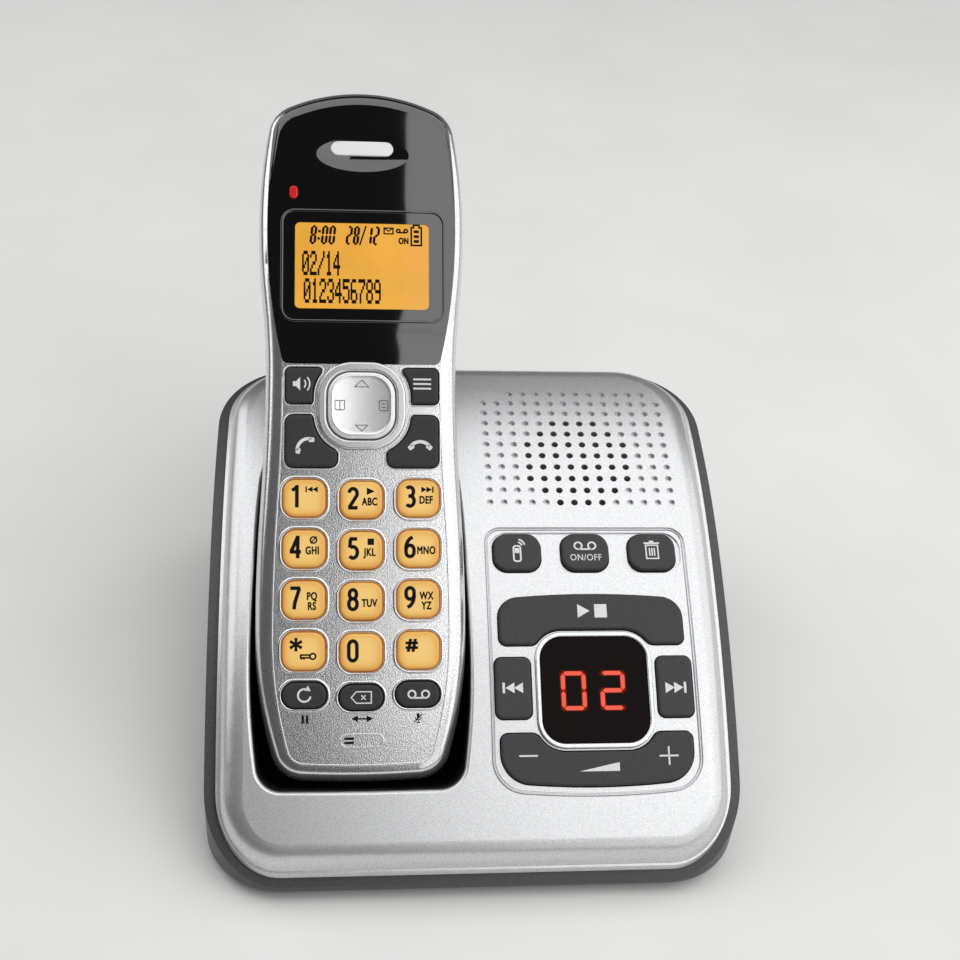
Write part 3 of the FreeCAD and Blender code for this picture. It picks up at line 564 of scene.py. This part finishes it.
def lockSign(width, centre=(0, 0)):                              # a door key lying on its side
    stroke = width * 0.11
    bow = line(circleLine((width * 0.32, 0), width * 0.18), stroke, True)
    shank = merged(bar(width * 0.62, stroke, (-width * 0.14, stroke * 0.8)),
                   bar(width * 0.62, stroke, (-width * 0.14, -stroke * 0.8)))
    bits = [bar(stroke, width * 0.16, (x, -width * 0.12)) for x in (-width * 0.4, -width * 0.24)]
    return moved(merged(bow, shank, bar(stroke, stroke * 2.6, (-width * 0.45, 0)), *bits), centre)


def crossedRing(size, centre=(0, 0)):
    ring = line(circleLine((0, 0), size * 0.4), size * 0.2, True)
    return moved(merged(ring, turned(bar(size * 1.2, size * 0.16), 48)), centre)


def asterisk(size, centre=(0, 0)):
    root, tip = size * 0.08, size * 0.12
    arm = area([(-root, 0), (-tip, size * 0.5), (tip, size * 0.5), (root, 0)])
    return moved(merged(*[turned(arm, turn) for turn in range(0, 360, 60)]), centre)


def hashSign(width, height, centre=(0, 0)):
    stroke, slant = width * 0.25, width * 0.2
    uprights = [area([(x - stroke / 2, -height / 2), (x + stroke / 2, -height / 2),
                      (x + slant + stroke / 2, height / 2), (x + slant - stroke / 2, height / 2)])
                for x in (-width * 0.28, width * 0.1)]
    rungs = [bar(width, stroke * 0.85, (0, y)) for y in (-height * 0.18, height * 0.18)]
    return moved(merged(*uprights, *rungs), centre)


# number keys
keyPrint = {       # key: groups of letters, small sign above them
    "1": ("", "back"), "2": ("ABC", "play"), "3": ("DEF", "forward"),
    "4": ("GHI", "crossed"), "5": ("JKL", "stop"), "6": ("MNO", None),
    "7": ("PQ RS", None), "8": ("TUV", None), "9": ("WX YZ", None),
    "star": ("", None), "0": ("", None), "hash": ("", None)}
digitPlace = {"centre": (-1.95, 0.4), "width": 2.7, "height": 5.35, "stroke": 0.84}
letterPlace = {"x": 1.85, "y": -0.4, "height": 1.85, "upperY": 0.83, "lowerY": -1.44}
signCentre = (2.15, 2.0)                   # of the small signs, from the key's middle
smallSigns = {"back": skipSign(2.85, 1.35, (1.65, 2.0), False), "play": arrowhead(1.875, 1.725, signCentre),
              "forward": skipSign(2.85, 1.425, signCentre), "stop": bar(1.5, 1.5, signCentre),
              "crossed": crossedRing(1.8, signCentre)}
wholeSigns = {"star": merged(asterisk(3.1, (-1.75, 1.5)), lockSign(3.6, (0.95, -1.2))),
              "hash": hashSign(2.9, 3.0, (-1.6, 1.15))}


def keySpot(index):
    column, row = index % 3 - 1, index // 3
    drop = layout["middleDrop"] if column == 0 else 0
    return column * layout["keyPitchX"], (1.5 - row) * layout["keyPitchY"] - drop


def keyMarks(label):
    words, sign = keyPrint[label]
    shapes = [wholeSigns.get(label) or digit(label, **digitPlace)]
    if sign:
        shapes.append(smallSigns[sign])
    rows = words.split()
    heights = [letterPlace["y"]] if len(rows) == 1 else [letterPlace["upperY"], letterPlace["lowerY"]]
    for word, y in zip(rows, heights):
        shapes.append(letters(word, letterPlace["height"], (letterPlace["x"], y)))
    return merged(*shapes)


for index, label in enumerate(keyPrint):
    key = "key_" + label
    place = onHandset(*keySpot(index), layout["keyProud"] + inkLift)
    piece(key + "_print", keyMarks(label), place, blackInk, key)
print("number keys printed")


# dark keys of the handset, and the marks under the lowest row
darkMarks = {      # body: shape, x, height up the handset
    "speaker_key": (loudspeaker(3.2, (-0.5, 0)), -13.9, 44.4),
    "menu_key": (listSign(4.2, 2.6), 14.2, 44.6),
    "talk_key": (handsetSign(4.4, 40), -13.4, 30.2),
    "end_key": (handsetSign(4.6, 0), 13.7, 30.0),
    "redial_key": (redialSign(3.6), -13.0, -27.7),
    "clear_key": (deleteSign(4.6, 2.6), 0.0, -28.3),
    "message_key": (tapeLoops(5.2, 0.42), 13.2, -27.7)}
for body, (shape, x, v) in darkMarks.items():
    piece(body + "_print", shape, onHandset(x, v, layout["keyProud"] + inkLift), whiteInk, body)

faceMarks = {"heightOnHandset": -33.2, "pauseX": (-13.35, -12.35), "pauseBar": (0.55, 2.0),
             "intercom": (5.0, 1.5, (0.25, 0)), "mute": (2.5, (13.1, 0))}
pause = [bar(*faceMarks["pauseBar"], (x, 0)) for x in faceMarks["pauseX"]]
piece("housing_marks", merged(*pause, intercomSign(*faceMarks["intercom"]), muteSign(*faceMarks["mute"])),
      onHandset(0, faceMarks["heightOnHandset"], inkLift), blackInk, "handset")

navStroke = {"arrow": 0.22, "sign": 0.2}
arrows = [line([(-1.6, 4.3), (0, 5.9), (1.6, 4.3)], navStroke["arrow"], True),
          line([(-1.45, -4.75), (0, -6.1), (1.45, -4.75)], navStroke["arrow"], True)]
book = [line([(-6.2, -1.0), (-5.1, -1.25), (-5.1, 0.95), (-6.2, 1.1)], navStroke["sign"], True),
        line([(-5.1, -1.25), (-4.0, -1.0), (-4.0, 1.1), (-5.1, 0.95)], navStroke["sign"], True)]
card = [line(roundedLine(2.0, 2.4, 0.3, (5.1, -0.1)), navStroke["sign"], True),
        bar(1.1, navStroke["sign"], (5.1, 0.3)), bar(1.1, navStroke["sign"], (5.1, -0.5))]

# dished top of the navigation key: a shallow bowl inside a rounded rim, given as (outwards, up) pairs
navDish = {"size": 13.6, "corner": 4.6, "hollow": 0.26, "lift": 0.02, "steps": 10,
           "rim": [(0.34, -0.42), (0.32, -0.1), (0.2, 0.03), (0.07, 0.03)]}


def dished(shape):                         # lifts each point on to the bowl
    reach = navDish["size"] / 2
    return [(x, y, z + navDish["hollow"] * (x * x + y * y) / reach ** 2) for x, y, z in shape[0]], shape[1]


def bowl():                                # nested rounded squares, closed in the middle
    size, corner, steps = navDish["size"], navDish["corner"], navDish["steps"]
    rings = [(size + 2 * out, corner + out, up) for out, up in navDish["rim"]]
    rings += [(size * i / steps, corner * i / steps, 0.0) for i in range(steps, 0, -1)]
    points = [(x, y, up) for width, radius, up in rings for x, y in roundedLine(width, width, radius)]
    count = len(points) // len(rings)
    faces = [(outer + j, outer + (j + 1) % count, outer + count + (j + 1) % count, outer + count + j)
             for outer in range(0, len(points) - count, count) for j in range(count)]
    return points, faces + [tuple(range(len(points) - count, len(points)))]


navTop = layout["navKeyProud"] + navDish["lift"]
navInkLift = 2 * inkLift                   # the bowl's flat faces rise a little between its points
piece("nav_key_dish", dished(bowl()), onHandset(0, layout["navCentre"], navTop), brightPearl, "nav_key",
      smooth=True)
piece("nav_key_marks", dished(merged(*arrows, *book, *card)),
      onHandset(0, layout["navCentre"], navTop + navInkLift), etching, "nav_key")


# raised rims round the keys and the microphone slot, and the ridge where the flat face ends
def outlineOf(node, centre, height, turns, grow):                # rays from all round, then moved outwards
    farOut = 150                           # where each ray starts, in mm
    toPlace = onHandset(*centre).inverted() @ nodes[node].matrix_world
    mesh = nodes[node].data
    corners = [toPlace @ v.co for v in mesh.vertices]
    tree = BVHTree.FromPolygons(corners, [tuple(p.vertices) for p in mesh.polygons])
    points = []
    for degrees in turns:
        way = Vector((math.cos(math.radians(degrees)), math.sin(math.radians(degrees)), 0))
        hit, normal = tree.ray_cast(way * farOut + Vector((0, 0, height)), -way)[:2]
        if hit:
            side = Vector((normal.x, normal.y)).normalized() * grow
            points.append((hit.x + side.x + centre[0], hit.y + side.y + centre[1]))
    return points


# their sections are (outwards, up) pairs
rims = {"wide": [(-0.36, -0.3), (-0.36, 0.12), (-0.22, 0.24), (0.1, 0.24), (0.38, 0.02), (0.4, -0.05)],
        "narrow": [(-0.2, -0.3), (-0.2, 0.1), (-0.08, 0.2), (0.1, 0.17), (0.24, -0.04)],
        "wideOffset": 0.72, "narrowOffset": 0.42, "numberRadius": 3.5,
        "lowerKeys": [(-13.0, -27.7), (0.0, -28.3), (13.0, -27.7)],
        "lowerSize": (11.3, 7.0), "lowerRadius": 3.4,
        "upperKeys": {"speaker_key": (-13.4, 44.1), "menu_key": (13.7, 44.1),
                      "talk_key": (-13.2, 30.0), "end_key": (13.5, 30.0)},
        "upperHeight": 0.25, "upperTurns": range(0, 360, 3),     # where the rays meet these keys
        "slotSize": (9.9, 3.0), "slotRadius": 1.5, "slotCentre": (0.2, -38.2)}
slotRib = {"line": [(-3.85, -38.2), (-1.65, -38.2)],             # across the microphone's opening
           "section": [(-0.16, -0.7), (-0.16, -0.4), (0.16, -0.4), (0.16, -0.7)]}
rimShapes = []
for index in range(len(keyPrint)):
    size = layout["keyWidth"] + 2 * rims["wideOffset"], layout["keyHeight"] + 2 * rims["wideOffset"]
    rimShapes.append(sweep(roundedLine(*size, rims["numberRadius"], keySpot(index)), rims["wide"]))
for spot in rims["lowerKeys"]:
    rimShapes.append(sweep(roundedLine(*rims["lowerSize"], rims["lowerRadius"], spot), rims["wide"]))
for key, spot in rims["upperKeys"].items():
    keyLine = outlineOf(key, spot, rims["upperHeight"], rims["upperTurns"], rims["narrowOffset"])
    rimShapes.append(sweep(keyLine, rims["narrow"]))
slotLine = roundedLine(*rims["slotSize"], rims["slotRadius"], rims["slotCentre"])
rimShapes.append(sweep(slotLine, rims["narrow"]))
rimShapes.append(sweep(slotRib["line"], slotRib["section"], False))
piece("key_rims", merged(*rimShapes), onHandset(), faceSilver, "handset", smooth=True)

ridge = {"inset": 4.1, "depth": -4.6, "top": 48.0, "turns": range(-252, 73, 2),
         "section": [(-0.18, -0.03), (-0.07, 0.1), (0.06, 0.1), (0.18, -0.03)]}
faceEdge = outlineOf("handset_front_housing", (0, 0), ridge["depth"], ridge["turns"], -ridge["inset"])
faceEdge = [point for point in faceEdge if point[1] < ridge["top"]]
piece("face_ridge", sweep(faceEdge, ridge["section"], False), onHandset(), faceSilver, "handset",
      smooth=True)
print("handset marks and rims made")


# lit display of the handset
def segmentDigit(pattern, width, height, stroke, gap):           # pattern: a to f clockwise, g in the middle
    w, h, s = width / 2 - stroke / 2, height / 2 - stroke / 2, stroke / 2
    ends = {"a": ((-w, h), (w, h)), "b": ((w, h), (w, 0)), "c": ((w, 0), (w, -h)), "d": ((-w, -h), (w, -h)),
            "e": ((-w, 0), (-w, -h)), "f": ((-w, h), (-w, 0)), "g": ((-w, 0), (w, 0))}
    shapes = []
    for name in pattern:
        (x0, y0), (x1, y1) = ends[name]
        along = Vector((x1 - x0, y1 - y0)).normalized()
        side = Vector((-along.y, along.x)) * s
        start, stop = Vector((x0, y0)) + along * gap, Vector((x1, y1)) - along * gap
        shapes.append(area([tuple(start), tuple(start + along * s - side), tuple(stop - along * s - side),
                            tuple(stop), tuple(stop - along * s + side), tuple(start + along * s + side)]))
    return merged(*shapes)


litSegments = {"0": "abcdef", "1": "bc", "2": "abged", "3": "abgcd", "4": "fgbc", "5": "afgcd", "6": "afgedc",
               "7": "abc", "8": "abcdefg", "9": "abcdfg"}
lcd = {"time": "8:00", "date": "28/12", "timeBox": (-12.3, -6.1), "dateBox": (-3.8, 4.3), "topV": 80.3,
       "digitHeight": 4.7, "digitShare": 0.88, "stroke": 0.62, "gap": 0.02, "lean": 6,
       "shares": {":": 0.5, "/": 0.8}, "colonY": (-0.9, 0.9), "slashReach": 0.5, "slashStroke": 0.4,
       "rows": ("02/14", "0123456789"), "rowsV": (73.45, 66.8), "rowsX": (-14.0, -13.6),
       "dot": (0.44, 0.88), "dotPitch": (0.306, 0.84), "lift": -0.13}
dotRows = {        # seven rows of five dots, top first
    "0": "01110 10001 10011 10101 11001 10001 01110", "1": "00100 01100 00100 00100 00100 00100 01110",
    "2": "01110 10001 00001 00110 01000 10000 11111", "3": "01110 10001 00001 00110 00001 10001 01110",
    "4": "00010 00110 01010 10010 11111 00010 00010", "5": "11111 10000 11110 00001 00001 10001 01110",
    "6": "01110 10000 10000 11110 10001 10001 01110", "7": "11111 00001 00010 00100 01000 01000 01000",
    "8": "01110 10001 10001 01110 10001 10001 01110", "9": "01110 10001 10001 01111 00001 00001 01110",
    "/": "00001 00001 00010 00100 01000 10000 10000"}


def lcdLine(text, left, right):            # every sign has its share of the width
    shares = [lcd["shares"].get(c, 1.0) for c in text]
    unit = (right - left) / sum(shares)
    half = lcd["digitHeight"] / 2
    x, shapes = left, []
    for c, share in zip(text, shares):
        centre = x + unit * share / 2
        if c == ":":
            shapes += [bar(lcd["stroke"], lcd["stroke"], (centre, y)) for y in lcd["colonY"]]
        elif c == "/":
            ends = [(centre - lcd["slashReach"], -half), (centre + lcd["slashReach"], half)]
            shapes.append(line(ends, lcd["slashStroke"]))
        else:
            size = unit * lcd["digitShare"], lcd["digitHeight"]
            shapes.append(moved(segmentDigit(litSegments[c], *size, lcd["stroke"], lcd["gap"]), (centre, 0)))
        x += unit * share
    points, faces = merged(*shapes)
    tilt = math.tan(math.radians(lcd["lean"]))
    return [(x + y * tilt, y + lcd["topV"], z) for x, y, z in points], faces


def dotMatrix(text, left, middle):         # one empty column of dots after each sign
    pitchX, pitchY = lcd["dotPitch"]
    shapes = []
    for place, c in enumerate(text):
        for row, dots in enumerate(dotRows[c].split()):
            for column, dot in enumerate(dots):
                x = left + (place * 6 + column + 0.5) * pitchX
                y = middle + (3 - row) * pitchY
                if dot == "1":
                    shapes.append(bar(*lcd["dot"], (x, y)))
    return merged(*shapes)


def envelopeSign(width, height, centre):
    border, flap = 0.34, 0.3               # strokes
    w, h = width / 2, height / 2
    return moved(merged(line([(-w, -h), (w, -h), (w, h), (-w, h)], border, True),
                        line([(-w, h), (0, -h * 0.1), (w, h)], flap)), centre)


def batterySign(width, height, centre):
    stroke = 0.42
    w, h = width / 2, height / 2
    neck, shoulder = width * 0.28, height * 0.38
    case = line([(-w, -h), (w, -h), (w, shoulder), (neck, shoulder), (neck, h), (-neck, h), (-neck, shoulder),
                 (-w, shoulder)], stroke, True)
    cells = [bar(width * 0.52, height * 0.14, (0, y)) for y in (-height * 0.3, -height * 0.06, height * 0.18)]
    return moved(merged(case, *cells), centre)


lcdSigns = [envelopeSign(2.1, 1.4, (6.35, 81.55)), tapeLoops(3.0, 0.4, (9.55, 81.6)),
            letters("ON", 1.6, (9.9, 79.2), 0.2), batterySign(2.4, 4.9, (12.95, 80.6))]
lcdRows = [dotMatrix(text, x, v) for text, x, v in zip(lcd["rows"], lcd["rowsX"], lcd["rowsV"])]
lcdLines = [lcdLine(lcd["time"], *lcd["timeBox"]), lcdLine(lcd["date"], *lcd["dateBox"])]
piece("lcd_segments", merged(*lcdLines, *lcdSigns, *lcdRows), onHandset(0, 0, lcd["lift"]), lcdInk, "handset")

lcdFrame = {"width": 38.2, "height": 26.6, "radius": 3.0, "centre": (0.3, 72.9),
            "section": [(-0.34, -0.02), (-0.24, 0.10), (0.0, 0.15), (0.24, 0.10), (0.34, -0.02)]}
frameLine = roundedLine(lcdFrame["width"], lcdFrame["height"], lcdFrame["radius"], lcdFrame["centre"])
piece("lcd_frame_bead", sweep(frameLine, lcdFrame["section"]), onHandset(), blackWindow, "handset",
      smooth=True)
print("handset display lit")


# message panel of the base
def keyTop(x, run):
    return onBase(x, run, layout["keyProud"] + inkLift)


panelX, displayRun = layout["panelX"], layout["displayRun"]
baseMarks = {      # body: shape, x, run of the key's own frame
    "find_button": (pageSign(5.6, (0.4, 0.2)), 11.3, -13.8),
    "answer_button": (merged(tapeLoops(5.6, 0.42, (0.05, 1.45)),
                             letters("ON/OFF", 1.65, (0.1, -1.6), 0.05, 0.85)), 27.9, -13.8),
    "erase_button": (binSign(4.6, (0.0, 0.35)), 44.4, -13.8),
    "play_stop_button": (merged(arrowhead(2.9, 3.4, (-1.7, 8.1)), bar(3.0, 3.3, (2.4, 8.1))),
                         panelX, displayRun + 10.7),
    "skip_back_button": (skipSign(4.8, 2.5, (-0.2, -0.1), False), 8.9, -47.4),
    "skip_forward_button": (skipSign(5.0, 2.6, (0.1, -0.4)), 47.2, -47.4),
    "volume_rocker": (merged(bar(4.3, 0.4, (-16.3, -5.2)), bar(4.5, 0.4, (16.5, -5.6)),
                             bar(0.4, 4.2, (16.5, -5.6)), area([(-4.6, -8.9), (4.8, -8.9), (4.8, -6.9)])),
                      panelX, displayRun - 10.1)}
for body, (shape, x, run) in baseMarks.items():
    piece(body + "_print", shape, keyTop(x, run), whiteInk, body)

bead = {"run": -39.6, "halfWidth": 24.3, "top": 32.1, "topRadius": 3.7, "lowRadius": 7.5,
        "lowCentre": (16.8, -24.24), "bowCentre": 160.0, "bowRadius": 192.5, "bowTurn": 5.2, "sideSteps": 20,
        "section": [(-0.26, -0.5), (-0.2, -0.16), (0, -0.03), (0.2, -0.16), (0.26, -0.5)]}


def beadLine():                            # rounded at the top, slightly bowed at the foot
    w, top, r = bead["halfWidth"], bead["top"], bead["topRadius"]
    x, y = bead["lowCentre"]
    turn, steps = bead["bowTurn"], bead["sideSteps"]
    rightSide = [(w, y + (top - r - y) * i / steps) for i in range(1, steps)]
    leftSide = [(-a, b) for a, b in reversed(rightSide)]
    foot = arc((0, bead["bowCentre"]), bead["bowRadius"], 270 - turn, 270 + turn, 16)
    return (arc((w - r, top - r), r, 0, 90, 8) + arc((r - w, top - r), r, 90, 180, 8) + leftSide
            + arc((-x, y), bead["lowRadius"], 180, 270 - turn, 12) + foot[1:-1]
            + arc((x, y), bead["lowRadius"], 270 + turn, 360, 12) + rightSide)


def bent(shape):                           # follows the cover's front arc
    radius = layout["frontArcRadius"]
    return [(x, y, z + math.sqrt(radius ** 2 - y ** 2) - radius) for x, y, z in shape[0]], shape[1]


piece("panel_bead", bent(sweep(beadLine(), bead["section"])), onBase(panelX, bead["run"]), coverSilver,
      "base", smooth=True)

counter = {"digits": "02", "x": (-5.0, 4.25), "y": -0.3, "size": (5.9, 9.2), "stroke": 0.98, "gap": 0.14,
           "lift": 0.30, "haloReach": 0.9, "haloDrop": 0.02, "haloAmount": 0.45}
counterShapes = []
for c, x in zip(counter["digits"], counter["x"]):
    lit = segmentDigit(litSegments[c], *counter["size"], counter["stroke"], counter["gap"])
    counterShapes.append(moved(lit, (x, counter["y"])))
piece("counter_digits", merged(*counterShapes), onBase(panelX, displayRun, counter["lift"]), redSegment,
      "base")


def haloShape(shape, reach):               # a skirt round every segment, bright at its inner edge
    points, faces, near = [], [], []
    for face in shape[1]:
        ring = [Vector(shape[0][i][:2]) for i in face]
        middle = sum(ring, Vector((0, 0))) / len(ring)
        outer = [p + (p - middle).normalized() * reach for p in ring]
        start, count = len(points), len(ring)
        points += [(p.x, p.y, 0) for p in ring + outer]
        near += [1.0] * count + [0.0] * count
        faces += [(start + i, start + (i + 1) % count, start + count + (i + 1) % count, start + count + i)
                  for i in range(count)]
    return (points, faces), near


haloParts, haloNear = haloShape(merged(*counterShapes), counter["haloReach"])
haloPlace = onBase(panelX, displayRun, counter["lift"] - counter["haloDrop"])
glowPiece = piece("counter_halo", haloParts, haloPlace, halo, "base")
nearLayer = glowPiece.data.attributes.new("near", "FLOAT", "POINT")
nearLayer.data.foreach_set("value", [n * counter["haloAmount"] for n in haloNear])
print("message panel made")


# floor, lamps and camera
stage = {"floorSize": 6000, "floorColour": "#ebebe9", "floorPale": "#f0f0ee", "floorBlotch": 60,
         "floorRoughness": 0.7, "room": "#424242"}
lamps = {          # name: centre, direction it faces, width, height in mm, radiance
    "frontPanel": ((514, -347, 900), (0, 0, -1), 974, 305, 1.6),
    "nearPanel": ((513, -800, 900), (0, 0, -1), 974, 600, 1.65),
    "rearPanel": ((100, 200, 900), (0, 0, -1), 1600, 790, 1.5),
    "rightPanel": ((960, -200, 500), (-1, 0, 0), 1600, 800, 1.3),
    "lowPanel": ((560, -1150, 480), (0, 1, 0), 900, 700, 1.0),
    "leftPanel": ((-880, 350, 600), (0.87, -0.35, -0.35), 1050, 750, 1.45)}
camera = {"focalLength": 55.22, "sensorWidth": 36, "clipStart": 0.01, "position": (-33.16, -271.55, 237.00),
          "yaw": 7.479, "elevation": 40.0, "roll": -5.010}


def makeFloor():
    material, tree, shader = surface("paleSatinBoard", Roughness=stage["floorRoughness"])
    mottle(tree, shader.inputs["Base Color"], stage["floorBlotch"], stage["floorColour"], stage["floorPale"])
    half = stage["floorSize"] / 2 * mm
    corners = [(-half, -half, 0), (half, -half, 0), (half, half, 0), (-half, half, 0)]
    mesh = bpy.data.meshes.new("floor")
    mesh.from_pydata(corners, [], [(0, 1, 2, 3)])
    mesh.materials.append(material)
    floor = bpy.data.objects.new("floor", mesh)
    bpy.context.scene.collection.objects.link(floor)


def makeLamp(name, centre, facing, width, height, radiance):
    lamp = bpy.data.lights.new(name, "AREA")
    lamp.shape = "RECTANGLE"
    lamp.size, lamp.size_y = width * mm, height * mm
    lamp.energy = radiance * math.pi * lamp.size * lamp.size_y
    holder = bpy.data.objects.new(name, lamp)
    holder.location = Vector(centre) * mm
    holder.rotation_euler = Vector(facing).to_track_quat("-Z", "Y").to_euler()
    bpy.context.scene.collection.objects.link(holder)


def makeWorld():
    sky = bpy.data.worlds.new("studio")
    bpy.context.scene.world = sky
    sky.use_nodes = True
    sky.node_tree.nodes["Background"].inputs["Color"].default_value = linear(stage["room"])


def makeCamera():
    yaw, elevation, roll = (math.radians(camera[name]) for name in ("yaw", "elevation", "roll"))
    level = math.cos(elevation)
    forward = Vector((math.sin(yaw) * level, math.cos(yaw) * level, -math.sin(elevation)))
    right = forward.cross(Vector((0, 0, 1))).normalized()
    down = forward.cross(right)
    across = right * math.cos(roll) + down * math.sin(roll)
    up = right * math.sin(roll) - down * math.cos(roll)
    eye = bpy.data.objects.new("camera", bpy.data.cameras.new("camera"))
    eye.data.lens = camera["focalLength"]
    eye.data.sensor_width = camera["sensorWidth"]
    eye.data.clip_start = camera["clipStart"]
    eye.matrix_world = Matrix((across, up, -forward)).transposed().to_4x4()
    eye.location = (Vector(camera["position"]) + shift) * mm
    bpy.context.scene.collection.objects.link(eye)
    bpy.context.scene.camera = eye


makeFloor()
for name, values in lamps.items():
    makeLamp(name, *values)
makeWorld()
makeCamera()
bpy.context.scene.view_settings.view_transform = "Standard"
print("stage, lamps and camera placed")
